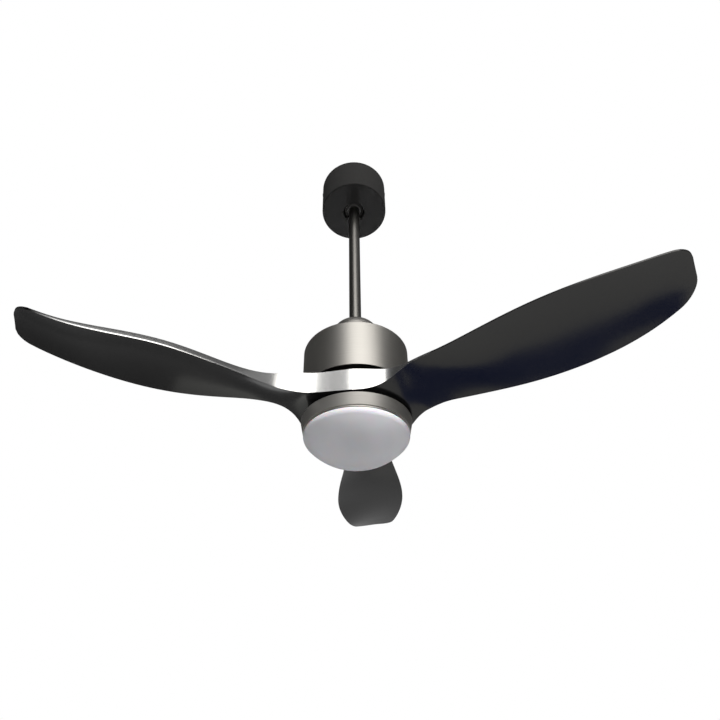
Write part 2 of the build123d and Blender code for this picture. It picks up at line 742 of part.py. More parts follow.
# Light ring: tapered band that lies on the plate by its lip, with bayonet tabs for the lens
with BuildPart() as light_ring:
    with BuildSketch(Plane.XZ):
        with BuildLine():
            groove_radius = ring_bottom_radius - ring_groove_depth
            z_groove = z_ring_bottom + ring_groove
            Polyline(
                (ring_top_radius - ring_lip_width, z_ring_top),
                (ring_top_radius, z_ring_top),
                (ring_bottom_radius + ring_taper * ring_groove, z_groove),
                (groove_radius, z_groove),
                (groove_radius, z_ring_bottom),
                (ring_foot_inside, z_ring_bottom),
                (ring_inside - ring_taper * ring_lip, z_plate_top),
                (ring_top_radius - ring_lip_width, z_plate_top),
                close=True,
            )
        make_face()
    revolve(axis=Axis.Z)
    with BuildSketch(Plane.XY.offset(z_tab)):
        tab_outside = ring_foot_inside + ring_taper * (bayonet_height + bayonet_tab / 2) + ring_wall / 2
        ring_sectors(tab_inside, tab_outside, bayonet_tab_angle, bayonet_count, 0)
    extrude(amount=bayonet_tab)
    with Locations((0, 0, z_ring_top)):
        with PolarLocations(ring_screw_circle, ring_screw_count, ring_screw_start):
            Cylinder(small_screw[0] + pin_fit, 4 * ring_lip, mode=Mode.SUBTRACT)

# Ring screws: hold the ring on the plate from below
with BuildPart() as ring_screws:
    ring_screw = screw(small_screw, plate_thickness + ring_lip)
    with Locations((0, 0, z_plate_bottom)):
        with PolarLocations(ring_screw_circle, ring_screw_count, ring_screw_start):
            add(ring_screw, rotation=(180, 0, 0))

# Lens: frosted shallow dome with a collar and lugs that turn in over the ring's tabs
z_lens_bottom = z_lens_top - lens_rim - lens_depth
dome_radius = (lens_radius**2 + lens_depth**2) / (2 * lens_depth)
with BuildPart() as lens:
    with BuildSketch(Plane.XZ) as lens_profile:
        with BuildLine():
            z_dome_centre = z_lens_bottom + dome_radius
            inner_radius = dome_radius - lens_wall
            outer_edge = math.degrees(math.asin(lens_radius / dome_radius))
            inner_edge = math.degrees(math.asin(lens_collar_inside / inner_radius))
            outer = CenterArc((0, z_dome_centre), dome_radius, -90, outer_edge)
            inner = CenterArc((0, z_dome_centre), inner_radius, -90, inner_edge)
            Line(outer @ 0, inner @ 0)
            Polyline(
                outer @ 1,
                (lens_radius, z_lens_top),
                (lens_collar_radius, z_lens_top),
                (lens_collar_radius, z_lug + bayonet_lug),
                (lens_collar_inside, z_lug + bayonet_lug),
                inner @ 1,
            )
        make_face()
        fillet(lens_profile.vertices().group_by(Axis.X)[-1].sort_by(Axis.Y)[0], lens_corner)
        fillet(lens_profile.vertices().group_by(Axis.X)[-1].sort_by(Axis.Y)[-1], lens_edge)
    revolve(axis=Axis.Z)
    with BuildSketch(Plane.XY.offset(z_lug)):
        lug_outside = ring_foot_inside - 3 * bayonet_clearance
        ring_sectors(lens_collar_inside, lug_outside, bayonet_lug_angle, bayonet_count, 0)
    extrude(amount=bayonet_lug)

# Light driver: screwed up against the plate
with BuildPart() as light_driver:
    with Locations((driver_offset, 0, z_plate_bottom - driver_height / 2)):
        Box(driver_length, driver_width, driver_height)
    fillet(light_driver.edges().filter_by(Axis.Z), driver_corner)

# Standoffs between the plate and the lamp board
with BuildPart() as board_standoffs:
    with BuildSketch(Plane.XY.offset(z_board_top)):
        with PolarLocations(standoff_circle, standoff_count, standoff_start):
            RegularPolygon(standoff_radius, 6)
            Circle(small_screw[0] + pin_fit, mode=Mode.SUBTRACT)
    extrude(amount=standoff_height)

# Lamp board
with BuildPart() as lamp_board:
    with BuildSketch(Plane.XY.offset(z_board_bottom)):
        Circle(board_radius)
        with PolarLocations(standoff_circle, standoff_count, standoff_start):
            Circle(small_screw[0] + pin_fit, mode=Mode.SUBTRACT)
    extrude(amount=board_thickness)

# Lamp chips in rings on the board's underside
with BuildPart() as lamp_chips:
    ring_step = (board_radius - chip_size) / chip_ring_count
    with Locations((0, 0, z_board_bottom)):
        for index in range(1, chip_ring_count + 1):
            with PolarLocations(index * ring_step, index * first_ring_count):
                Box(chip_size, chip_size, chip_height, align=downward)

# Board screws: from below into the standoffs
with BuildPart() as board_screws:
    board_screw = screw(small_screw, board_thickness + standoff_height / 2)
    with Locations((0, 0, z_board_bottom)):
        with PolarLocations(standoff_circle, standoff_count, standoff_start):
            add(board_screw, rotation=(180, 0, 0))

pieces = {
    "hanger_bracket": hanger_bracket,
    "canopy": canopy,
    "canopy_screws": canopy_screws,
    "receiver_box": receiver_box,
    "hanger_ball": hanger_ball,
    "ball_pin": ball_pin,
    "ball_set_screw": ball_set_screw,
    "downrod": downrod,
    "coupling_cover": coupling_cover,
    "motor_collar": motor_collar,
    "clevis_pin": clevis_pin,
    "hairpin_clip": hairpin_clip,
    "collar_screws": collar_screws,
    "motor_housing": motor_housing,
    "housing_screws": housing_screws,
    "motor_shaft": motor_shaft,
    "stator_core": stator_core,
    "stator_windings": stator_windings,
    "rotor_magnets": rotor_magnets,
    "upper_bearing": upper_bearing,
    "lower_bearing": lower_bearing,
    "upper_rotor_case": upper_rotor_case,
    "lower_rotor_case": lower_rotor_case,
    "case_screws": case_screws,
    "blade_screws": blade_screws,
    "light_plate": light_plate,
    "plate_nuts": plate_nuts,
    "light_ring": light_ring,
    "ring_screws": ring_screws,
    "lens": lens,
    "light_driver": light_driver,
    "board_standoffs": board_standoffs,
    "lamp_board": lamp_board,
    "lamp_chips": lamp_chips,
    "board_screws": board_screws,
}

# Blades: the same blade turned to each of its places
for number, angle in enumerate(blade_angles, start=1):
    with BuildPart() as turned_blade:
        add(blade.part, rotation=(0, 0, angle))
    pieces[f"blade_{number}"] = turned_blade

os.makedirs("parts", exist_ok=True)
for label, piece in pieces.items():
    piece.part.label = label
    export_step(piece.part, f"parts/{label}.step")
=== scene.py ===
import json
import math

import bpy
from mathutils import Matrix, Vector
from mathutils.bvhtree import BVHTree


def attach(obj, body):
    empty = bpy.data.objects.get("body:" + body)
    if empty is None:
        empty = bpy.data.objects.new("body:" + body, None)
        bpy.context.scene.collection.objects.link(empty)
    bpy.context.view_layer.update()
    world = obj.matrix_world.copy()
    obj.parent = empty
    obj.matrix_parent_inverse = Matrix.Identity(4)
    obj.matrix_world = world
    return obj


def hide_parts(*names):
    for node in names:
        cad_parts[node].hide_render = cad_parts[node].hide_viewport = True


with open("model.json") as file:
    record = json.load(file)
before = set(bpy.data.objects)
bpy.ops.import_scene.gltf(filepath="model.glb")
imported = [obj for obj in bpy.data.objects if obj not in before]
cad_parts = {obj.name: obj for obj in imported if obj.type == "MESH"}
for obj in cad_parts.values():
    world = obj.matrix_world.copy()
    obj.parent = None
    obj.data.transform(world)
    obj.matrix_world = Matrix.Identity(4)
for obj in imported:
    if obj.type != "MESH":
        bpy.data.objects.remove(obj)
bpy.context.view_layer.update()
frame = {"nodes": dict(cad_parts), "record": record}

# Ceiling fan with light: looks, studio and camera. Metres, +Z up, origin on the ceiling.

nodes = frame["nodes"]
bodies = frame["record"]["behaviour"]["bodies"]
body_of = {node: body for body, members in bodies.items() for node in members}
slot_of = {part["node"]: part["material_slot"] for part in frame["record"]["subparts"]}

# Hub, made by the blades' roots
hub_level = -0.70
hub_bore = 0.030
hub_chord = 0.055
hub_half_angle = math.radians(60)
hub_steps = (0.0, 0.35, 0.65, 1.0)
screw_zone = 0.076

# Blades; their rows are given as first reach, spacing and count
blade_count = 3
first_blade_angle = math.radians(85.6)
blade_columns = 21
root_rows = (hub_chord + 0.003, 0.003, 12)
middle_rows = (0.096, 0.005, 22)
outer_rows = (0.210, 0.0125, 26)
tip_rows = 26
tip_gap = 0.0001
corner_view = math.radians(30.0)
edge_inset_share = 0.003
tip_inset = 0.0003
ray_reach = 0.5
edge_land = 0.003
sharp_edge = math.radians(40)
blade_edge_round = 0.0012
edge_round_steps = 3

# Polished edge of the blades
wall_slope = 0.8
polish_start = hub_bore + 0.003
polish_both_walls = 0.20
polish_end = 0.59
# The polished edge is painted dark towards the blade tips: painted shade in place of their reflection
tip_shade_span = (0.53, 0.592)
tip_shade_colour = (0.020, 0.020, 0.020)

# Camera, as fitted to the photo
camera_place = (-0.00637, -0.92092, -1.33292)
camera_pitch = 0.5253
camera_roll = -0.0083
camera_lens = 27.646
camera_shift = (0.0090, 0.1284)

# Floor and surroundings
floor_height = -2.45
floor_width = 60.0
floor_paleness = 0.52
ambient = 0.12

# Lamps; bearings are counted from the front, rises from the level
lamp_distance = 3.2
softbox_turn = math.radians(15.0)
softbox_rise = math.radians(36.0)
softbox_size = (2.75, 2.2)
softbox_power = 54.0
softbox_colour = (1.0, 0.97, 0.92)
fill_turn = math.radians(12.0)
fill_rise = math.radians(33.0)
fill_size = (1.6, 1.0)
fill_power = 118.0
fill_colour = (1.0, 0.975, 0.94)
side_lamps = (("left_lamp", math.radians(-100.0), 10.0), ("right_lamp", math.radians(85.0), 14.0))
side_size = (1.0, 1.0)
side_colour = (1.0, 0.99, 0.98)
canopy_lamp_place = (0.0, 1.3, -0.55)
canopy_lamp_heading = (0.0, -1.3, 0.46)
canopy_lamp_size = (0.6, 0.6)
canopy_lamp_power = 2.4
canopy_lamp_spread = math.radians(40.0)

# Rings of cards, seen only in reflections; levels are counted from the hub, bearings from the front
card_radius = 3.6
card_top = 8.0
card_turn = math.radians(6.0)
card_gap = math.radians(23.0)
card_fade = math.radians(65.0)
upper_cards_foot = 0.25
upper_cards_end = 2.9
high_card_start = 0.45
high_card_end = 2.0
side_card_radius = 1.9
side_card_middle = -2.3
side_card_start = -2.95
side_card_end = -2.0
side_card_join = -0.3
rear_card_start = 2.75
top_card_colour = (0.13, 0.13, 0.13)

# Pale card behind and below the hub: the place and head of its two sides, and its foot
hub_card_depth = 0.40
hub_card_right = (-0.17, -0.755)
hub_card_left = (-0.52, -0.935)
hub_card_foot = -1.10
hub_card_colour = (0.66, 0.66, 0.63)

# Mat just above the floor: its far and near edges from left to right
mat_far = [
    (-0.46, 0.66), (-0.12, 0.76), (0.16, 0.78), (0.43, 0.84),
    (0.69, 0.71), (0.90, 0.39), (1.12, 0.17), (1.76, 0.06),
]
mat_near = [
    (-0.50, 0.06), (-0.12, -0.06), (0.10, 0.14), (0.29, 0.22),
    (0.47, 0.29), (0.62, 0.19), (0.82, -0.12), (1.50, -0.62),
]
mat_lift = 0.01
mat_colour = (0.07, 0.12, 0.42)

# Round of ceiling above the canopy, painted black as painted shade
mouth_radius = 0.081
mouth_lift = 0.0005


# Surface effects shared by several materials

def effect_group(name, inputs, outputs):
    """Empty node group with its sockets, ready to be filled."""
    group = bpy.data.node_groups.new(name, "ShaderNodeTree")
    for label, kind, value in inputs:
        socket = group.interface.new_socket(label, in_out="INPUT", socket_type=kind)
        if value is not None:
            socket.default_value = value
    for label in outputs:
        group.interface.new_socket(label, in_out="OUTPUT", socket_type="NodeSocketFloat")
    return group, group.nodes.new("NodeGroupInput").outputs, group.nodes.new("NodeGroupOutput").inputs


def surface_group(name, scale, drift):
    """Effect that gives a shade and a height from a place, a scale and a drift."""
    return effect_group(
        name,
        [
            ("Place", "NodeSocketVector", None),
            ("Scale", "NodeSocketFloat", scale),
            ("Drift", "NodeSocketFloat", drift),
        ],
        ["Shade", "Height"],
    )


def maths(tree, operation, *values):
    """Result of one sum; each value is a number or another node's output."""
    node = tree.nodes.new("ShaderNodeMath")
    node.operation = operation
    for socket, value in zip(node.inputs, values):
        if isinstance(value, float):
            socket.default_value = value
        else:
            tree.links.new(value, socket)
    return node.outputs[0]


def stretched(tree, value, low, high):
    """Value spread so that low becomes 0 and high becomes 1."""
    node = tree.nodes.new("ShaderNodeMapRange")
    node.inputs["From Min"].default_value = low
    node.inputs["From Max"].default_value = high
    tree.links.new(value, node.inputs["Value"])
    return node.outputs["Result"]


def length_of(tree, vector):
    """Length of a vector, as a node's output."""
    node = tree.nodes.new("ShaderNodeVectorMath")
    node.operation = "LENGTH"
    tree.links.new(vector, node.inputs[0])
    return node.outputs["Value"]


def grain_group():
    """Fine even grain over a slow cloudy drift."""
    group, given, result = surface_group("grain", 400.0, 9.0)
    link = group.links.new
    noises = []
    for size, detail in (("Scale", 3.0), ("Drift", 4.0)):
        noise = group.nodes.new("ShaderNodeTexNoise")
        noise.inputs["Detail"].default_value = detail
        link(given["Place"], noise.inputs["Vector"])
        link(given[size], noise.inputs["Scale"])
        noises.append(noise.outputs["Fac"])
    fine, slow = noises
    both = maths(group, "MULTIPLY_ADD", fine, 0.35, maths(group, "MULTIPLY", slow, 0.65))
    link(stretched(group, both, 0.3, 0.7), result["Shade"])
    link(fine, result["Height"])


def brushing_group():
    """Fine lines drawn round the fan's axis, with a slow drift between them."""
    group, given, result = surface_group("brushing", 900.0, 1.5)
    link = group.links.new
    split = group.nodes.new("ShaderNodeSeparateXYZ")
    link(given["Place"], split.inputs[0])
    flat = group.nodes.new("ShaderNodeCombineXYZ")
    link(split.outputs["X"], flat.inputs["X"])
    link(split.outputs["Y"], flat.inputs["Y"])
    turn = maths(group, "ARCTAN2", split.outputs["Y"], split.outputs["X"])
    across = maths(group, "ADD", length_of(group, flat.outputs[0]), split.outputs["Z"])
    laid = group.nodes.new("ShaderNodeCombineXYZ")
    link(maths(group, "MULTIPLY", turn, given["Drift"]), laid.inputs["X"])
    link(maths(group, "MULTIPLY", across, given["Scale"]), laid.inputs["Z"])
    lines = group.nodes.new("ShaderNodeTexNoise")
    lines.inputs["Scale"].default_value = 1.0
    lines.inputs["Detail"].default_value = 4.0
    lines.inputs["Roughness"].default_value = 0.6
    link(laid.outputs[0], lines.inputs["Vector"])
    link(stretched(group, lines.outputs["Fac"], 0.25, 0.75), result["Shade"])
    link(lines.outputs["Fac"], result["Height"])


def layers_group():
    """Thin level layers, as in stacked sheet or wound wire."""
    group, given, result = surface_group("layers", 300.0, 0.6)
    link = group.links.new
    bands = group.nodes.new("ShaderNodeTexWave")
    bands.bands_direction = "Z"
    bands.inputs["Detail"].default_value = 1.0
    bands.inputs["Detail Scale"].default_value = 1.5
    link(given["Place"], bands.inputs["Vector"])
    link(given["Scale"], bands.inputs["Scale"])
    link(given["Drift"], bands.inputs["Distortion"])
    link(bands.outputs["Fac"], result["Shade"])
    link(bands.outputs["Fac"], result["Height"])


def bearing_group():
    """Grey of a card: light at a bearing either side of the middle, dark further round."""
    labels = ("Middle", "Start", "Reach", "Fall", "Dark", "Light")
    group, given, result = effect_group(
        "bearing_grey",
        [("Place", "NodeSocketVector", None)] + [(label, "NodeSocketFloat", 0.0) for label in labels],
        ["Grey"],
    )
    link = group.links.new
    split = group.nodes.new("ShaderNodeSeparateXYZ")
    link(given["Place"], split.inputs[0])
    back = maths(group, "MULTIPLY", split.outputs["Y"], -1.0)
    bearing = maths(group, "ARCTAN2", split.outputs["X"], back)
    away = maths(group, "ABSOLUTE", maths(group, "SUBTRACT", bearing, given["Middle"]))
    fade = group.nodes.new("ShaderNodeMapRange")
    link(away, fade.inputs["Value"])
    link(given["Start"], fade.inputs["From Min"])
    link(maths(group, "ADD", given["Start"], given["Reach"]), fade.inputs["From Max"])
    fade.inputs["To Min"].default_value = 1.0
    fade.inputs["To Max"].default_value = 0.0
    curve = maths(group, "POWER", fade.outputs["Result"], given["Fall"])
    gain = maths(group, "SUBTRACT", given["Light"], given["Dark"])
    link(maths(group, "MULTIPLY_ADD", curve, gain, given["Dark"]), result["Grey"])


grain_group()
brushing_group()
layers_group()
bearing_group()


# Finishes

def colour_mix(tree, factor):
    """Mix node for two colours, with its two colour inputs and its colour output."""
    node = tree.nodes.new("ShaderNodeMix")
    node.data_type = "RGBA"
    tree.links.new(factor, node.inputs["Factor"])
    first, second = (socket for socket in node.inputs if socket.type == "RGBA")
    return first, second, next(socket for socket in node.outputs if socket.type == "RGBA")


def finish(name, effect, scale, drift, low, high, rough, bump, **sockets):
    """Surface whose colour, roughness and relief all follow one effect."""
    material = bpy.data.materials.new(name)
    material.use_nodes = True
    tree = material.node_tree
    link = tree.links.new
    shader = tree.nodes["Principled BSDF"]
    place = tree.nodes.new("ShaderNodeTexCoord")
    surface = tree.nodes.new("ShaderNodeGroup")
    surface.node_tree = bpy.data.node_groups[effect]
    surface.inputs["Scale"].default_value = scale
    surface.inputs["Drift"].default_value = drift
    link(place.outputs["Object"], surface.inputs["Place"])
    first, second, colour = colour_mix(tree, surface.outputs["Shade"])
    first.default_value = (*low, 1.0)
    second.default_value = (*high, 1.0)
    link(colour, shader.inputs["Base Color"])
    sheen = tree.nodes.new("ShaderNodeMapRange")
    sheen.inputs["To Min"].default_value, sheen.inputs["To Max"].default_value = rough
    link(surface.outputs["Shade"], sheen.inputs["Value"])
    link(sheen.outputs["Result"], shader.inputs["Roughness"])
    relief = tree.nodes.new("ShaderNodeBump")
    relief.inputs["Strength"].default_value = 1.0
    relief.inputs["Distance"].default_value = bump
    link(surface.outputs["Height"], relief.inputs["Height"])
    link(relief.outputs["Normal"], shader.inputs["Normal"])
    for label, value in sockets.items():
        shader.inputs[label.replace("_", " ")].default_value = value
    return material


finishes = {
    "canopy_black": finish(
        "satin_black_paint", "grain", scale=700.0, drift=9.0, rough=(0.84, 0.92), bump=2e-5,
        low=(0.010, 0.010, 0.0102), high=(0.013, 0.013, 0.0132), Specular_IOR_Level=0.32,
    ),
    "gunmetal": finish(
        "brushed_gunmetal", "brushing", scale=1500.0, drift=1.5, rough=(0.40, 0.46), bump=6e-6,
        low=(0.315, 0.306, 0.291), high=(0.39, 0.38, 0.361), Metallic=1.0,
    ),
    "dark_gunmetal": finish(
        "dark_brushed_gunmetal", "brushing", scale=1500.0, drift=1.5, rough=(0.30, 0.38), bump=6e-6,
        low=(0.138, 0.135, 0.128), high=(0.193, 0.188, 0.180), Metallic=1.0,
    ),
    "blade_black": finish(
        "satin_black_blade", "grain", scale=260.0, drift=6.0, rough=(0.15, 0.21), bump=8e-7,
        low=(0.007, 0.007, 0.0074), high=(0.012, 0.012, 0.0122), Specular_IOR_Level=0.35,
    ),
    "lens_white": finish(
        "frosted_white", "grain", scale=900.0, drift=7.0, rough=(0.36, 0.46), bump=1e-5,
        low=(0.715, 0.72, 0.78), high=(0.755, 0.76, 0.82),
        Subsurface_Weight=0.25, Subsurface_Scale=0.004,
    ),
    "steel": finish(
        "zinc_plate", "grain", scale=350.0, drift=40.0, rough=(0.26, 0.42), bump=8e-6,
        low=(0.46, 0.46, 0.45), high=(0.62, 0.62, 0.60), Metallic=1.0,
    ),
    "black_plastic": finish(
        "black_moulding", "grain", scale=900.0, drift=20.0, rough=(0.34, 0.46), bump=1e-5,
        low=(0.026, 0.026, 0.026), high=(0.040, 0.040, 0.040),
    ),
    "case_black": finish(
        "dip_coat", "grain", scale=500.0, drift=15.0, rough=(0.5, 0.65), bump=3e-5,
        low=(0.030, 0.029, 0.028), high=(0.045, 0.044, 0.042), Specular_IOR_Level=0.3,
    ),
    "cast_aluminium": finish(
        "cast_aluminium", "grain", scale=600.0, drift=25.0, rough=(0.38, 0.52), bump=3e-5,
        low=(0.40, 0.40, 0.41), high=(0.55, 0.55, 0.56), Metallic=1.0,
    ),
    "laminations": finish(
        "stamped_sheets", "layers", scale=320.0, drift=0.4, rough=(0.35, 0.5), bump=4e-5,
        low=(0.10, 0.10, 0.105), high=(0.26, 0.26, 0.27), Metallic=1.0,
    ),
    "copper": finish(
        "enamelled_wire", "layers", scale=420.0, drift=1.2, rough=(0.25, 0.4), bump=1e-4,
        low=(0.30, 0.09, 0.03), high=(0.62, 0.24, 0.10), Metallic=0.8,
    ),
    "magnet": finish(
        "sintered_magnet", "grain", scale=800.0, drift=30.0, rough=(0.45, 0.6), bump=2e-5,
        low=(0.05, 0.05, 0.052), high=(0.10, 0.10, 0.10),
    ),
    "white_plastic": finish(
        "white_moulding", "grain", scale=900.0, drift=12.0, rough=(0.4, 0.5), bump=1e-5,
        low=(0.70, 0.70, 0.68), high=(0.78, 0.78, 0.76),
    ),
    "chip_yellow": finish(
        "phosphor", "grain", scale=1500.0, drift=200.0, rough=(0.45, 0.6), bump=1e-5,
        low=(0.72, 0.52, 0.10), high=(0.86, 0.70, 0.22),
    ),
}
polished_edge = finish(
    "polished_edge", "grain", scale=120.0, drift=10.0, rough=(0.18, 0.25), bump=1e-6,
    low=(0.58, 0.58, 0.58), high=(0.64, 0.64, 0.635), Metallic=1.0,
)


def paint_shade_outwards(material, start, end, dark):
    """Painted shade: the colour runs out into a dark one between two distances from the fan's axis."""
    tree = material.node_tree
    link = tree.links.new
    base = tree.nodes["Principled BSDF"].inputs["Base Color"]
    bright = base.links[0].from_socket
    place = tree.nodes.new("ShaderNodeTexCoord")
    flat = tree.nodes.new("ShaderNodeVectorMath")
    flat.operation = "MULTIPLY"
    flat.inputs[1].default_value = (1.0, 1.0, 0.0)
    link(place.outputs["Object"], flat.inputs[0])
    share = tree.nodes.new("ShaderNodeMapRange")
    share.interpolation_type = "SMOOTHSTEP"
    share.inputs["From Min"].default_value = start
    share.inputs["From Max"].default_value = end
    link(length_of(tree, flat.outputs[0]), share.inputs["Value"])
    first, second, colour = colour_mix(tree, share.outputs["Result"])
    second.default_value = (*dark, 1.0)
    link(bright, first)
    link(colour, base)


# Painted shade on the polished edge, dark towards the tips
paint_shade_outwards(polished_edge, *tip_shade_span, tip_shade_colour)

for name, node in nodes.items():
    node.data.materials.clear()
    node.data.materials.append(finishes[slot_of[name]])
nodes["ball_pin"].data.materials[0] = finishes["case_black"]


def stand_in(piece, node):
    """The piece takes the node's place and body."""
    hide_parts(node)
    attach(piece, body_of[node])


# Blades: a sheet of squares laid on the underside, drawn up to the upper side, its edges rounded

def blade_rows(edges, length):
    """Plans of the underside and the upper side, in rows from the leading to the trailing edge."""
    last = blade_columns - 1
    shares = [
        0.5 * (0.5 - 0.5 * math.cos(math.pi * i / last)) + 0.5 * i / last for i in range(blade_columns)
    ]
    under, upper = [], []
    for step in hub_steps:
        row = []
        for share in shares:
            turn = hub_half_angle * (2 * share - 1)
            arc = Vector((math.cos(turn), math.sin(turn))) * hub_bore
            chord = Vector((hub_chord, hub_chord * math.tan(turn)))
            row.append(arc.lerp(chord, step))
        under.append(row)
        upper.append(row)
    stations = [
        first + spacing * i
        for first, spacing, count in (root_rows, middle_rows, outer_rows)
        for i in range(count)
    ]
    tip_start = stations[-1]
    tip_length = length - tip_gap - tip_start
    for i in range(1, tip_rows + 1):
        stations.append(tip_start + tip_length * math.sin(math.pi / 2 * i / tip_rows))

    def outwards(point):
        """Reach towards the upper corner of the trailing wall."""
        return point.y * math.cos(corner_view) + point.z * math.sin(corner_view)

    for x in stations:
        crossings = []
        for a, b in edges:
            if (a.x - x) * (b.x - x) <= 0 and a.x != b.x:
                crossings.append(a.lerp(b, (x - a.x) / (b.x - a.x)))
        leading = min(c.y for c in crossings)
        low_trailing = max(c.y for c in crossings)
        high_trailing = max(crossings, key=outwards).y
        for rows, trailing in ((under, low_trailing), (upper, high_trailing)):
            rows.append([Vector((x, leading + (trailing - leading) * share)) for share in shares])
    return under, upper


def blade_shell(node, name, angle):
    """Blade with rounded edges and a polished wall, in the place of the node's blade."""
    mesh = nodes[node].data
    turned_back = Matrix.Rotation(-angle, 4, "Z")
    corners = [turned_back @ v.co for v in mesh.vertices]
    solid = BVHTree.FromPolygons(corners, [tuple(p.vertices) for p in mesh.polygons])
    edges = [(corners[e.vertices[0]], corners[e.vertices[1]]) for e in mesh.edges]
    under, upper = blade_rows(edges, max(c.x for c in corners))
    hub_point = Vector((0.5 * (hub_bore + hub_chord), 0.0))
    count, columns = len(under), len(under[0])

    def height(rows, row, column, side):
        """Level of the underside (-1) or the upper side (1) at a point of the plan."""
        point, first, last = (rows[row][i] for i in (column, 0, -1))
        past_hub = row >= len(hub_steps)
        if past_hub and point.x < screw_zone and 0 < column < columns - 1:
            share = (point.y - first.y) / (last.y - first.y)
            ends = [height(rows, row, i, side) for i in (0, columns - 1)]
            return (1 - share) * ends[0] + share * ends[1]
        at = point.lerp((first + last) / 2, edge_inset_share) if past_hub else hub_point
        if row == count - 1:
            at = at - Vector((tip_inset, 0.0))
        start = Vector((at.x, at.y, hub_level + side * ray_reach))
        return solid.ray_cast(start, Vector((0, 0, -side)))[0].z

    bpy.ops.object.select_all(action="DESELECT")
    bpy.ops.mesh.primitive_grid_add(x_subdivisions=count - 1, y_subdivisions=columns - 1, size=1.0)
    piece = bpy.context.object
    piece.name = name
    cell = {}
    for v in piece.data.vertices:
        row = round((v.co.x + 0.5) * (count - 1))
        column = round((v.co.y + 0.5) * (columns - 1))
        point = under[row][column]
        v.co = (point.x, point.y, height(under, row, column, -1))
        cell[(round(point.x, 6), round(point.y, 6))] = (row, column)

    # First the narrow upright land round the edge, then the leaning wall above it
    land = set()
    for step in ("land", "top"):
        bpy.ops.object.mode_set(mode="EDIT")
        if step == "land":
            bpy.ops.mesh.select_all(action="SELECT")
        bpy.ops.mesh.extrude_region_move()
        bpy.ops.object.mode_set(mode="OBJECT")
        for v in piece.data.vertices:
            if v.select:
                row, column = cell[(round(v.co.x, 6), round(v.co.y, 6))]
                point = upper[row][column]
                top = height(upper, row, column, 1)
                if step == "land":
                    v.co.z += min(edge_land, 0.5 * (top - v.co.z))
                    if column == columns - 1:
                        land.add(v.index)
                else:
                    v.co = (point.x, point.y, top)

    # The land's upper line stays sharp, and the outer edges are rounded
    bpy.ops.object.mode_set(mode="EDIT")
    bpy.ops.mesh.select_mode(type="EDGE")
    bpy.ops.mesh.select_all(action="SELECT")
    bpy.ops.mesh.normals_make_consistent(inside=False)
    bpy.ops.mesh.select_all(action="DESELECT")
    bpy.ops.object.mode_set(mode="OBJECT")
    for edge in piece.data.edges:
        edge.select = edge.vertices[0] in land and edge.vertices[1] in land
    bpy.ops.object.mode_set(mode="EDIT")
    bpy.ops.mesh.mark_sharp()
    bpy.ops.mesh.select_all(action="DESELECT")
    bpy.ops.mesh.edges_select_sharp(sharpness=sharp_edge)
    bpy.ops.mesh.bevel(
        offset=blade_edge_round, segments=edge_round_steps, profile=0.5, affect="EDGES", clamp_overlap=True
    )
    bpy.ops.object.mode_set(mode="OBJECT")
    bpy.ops.object.shade_smooth()
    bpy.ops.object.modifier_add(type="WEIGHTED_NORMAL")
    piece.modifiers[-1].keep_sharp = True
    bpy.ops.object.modifier_apply(modifier=piece.modifiers[-1].name)

    piece.data.materials.append(finishes["blade_black"])
    piece.data.materials.append(polished_edge)
    for face in piece.data.polygons:
        centre = face.center
        on_wall = abs(face.normal.z) < wall_slope and polish_start < centre.x < polish_end
        if on_wall and (centre.y > 0 or centre.x < polish_both_walls):
            face.material_index = 1
    piece.data.transform(Matrix.Rotation(angle, 4, "Z"))
    stand_in(piece, node)


for number in range(blade_count):
    blade_angle = first_blade_angle + number * math.tau / blade_count
    blade_shell(f"blade_{number + 1}", f"swept_blade_{number + 1}", blade_angle)


# Floor and surroundings: pale where they are seen or mirrored

def seen_or_mirrored(tree, unseen, seen):
    """Value for what the camera sees, straight or in metal and glass, and another for all other light."""
    path = tree.nodes.new("ShaderNodeLightPath").outputs
    direct = maths(tree, "ADD", path["Is Camera Ray"], path["Is Glossy Ray"])
    shown = maths(tree, "ADD", direct, path["Is Transmission Ray"])
    shown.node.use_clamp = True
    value = tree.nodes.new("ShaderNodeMapRange")
    value.inputs["To Min"].default_value = unseen
    value.inputs["To Max"].default_value = seen
    tree.links.new(shown, value.inputs["Value"])
    return value.outputs["Result"]


bpy.ops.object.select_all(action="DESELECT")
bpy.ops.mesh.primitive_plane_add(size=floor_width, location=(0, 0, floor_height))
floor = bpy.context.object
floor.name = "studio_floor"
floor_look = bpy.data.materials.new("pale_floor")
floor_look.use_nodes = True
tree = floor_look.node_tree
shader = tree.nodes["Principled BSDF"]
shader.inputs["Base Color"].default_value = (0.62, 0.62, 0.612, 1.0)
shader.inputs["Roughness"].default_value = 0.7
shader.inputs["Emission Color"].default_value = (1.0, 1.0, 0.98, 1.0)
tree.links.new(seen_or_mirrored(tree, 0.0, floor_paleness), shader.inputs["Emission Strength"])
floor.data.materials.append(floor_look)

world = bpy.data.worlds.new("studio_white")
bpy.context.scene.world = world
world.use_nodes = True
tree = world.node_tree
sky = tree.nodes["Background"]
sky.inputs["Color"].default_value = (1.0, 1.0, 1.0, 1.0)
tree.links.new(seen_or_mirrored(tree, ambient, 1.0), sky.inputs["Strength"])


# Lamps: a broad softbox in front, and fills that no surface mirrors

def lamp(name, turn, rise, size, power, colour):
    """Square lamp that looks at the hub from a bearing and a rise."""
    level = math.cos(rise)
    heading = Vector((math.sin(turn) * level, -math.cos(turn) * level, math.sin(rise)))
    place = Vector((0.0, 0.0, hub_level)) + heading * lamp_distance
    bpy.ops.object.light_add(type="AREA", location=place)
    light = bpy.context.object
    light.name = name
    light.rotation_euler = (-heading).to_track_quat("-Z", "Y").to_euler()
    light.data.shape = "RECTANGLE"
    light.data.size, light.data.size_y = size
    light.data.energy = power
    light.data.color = colour
    return light


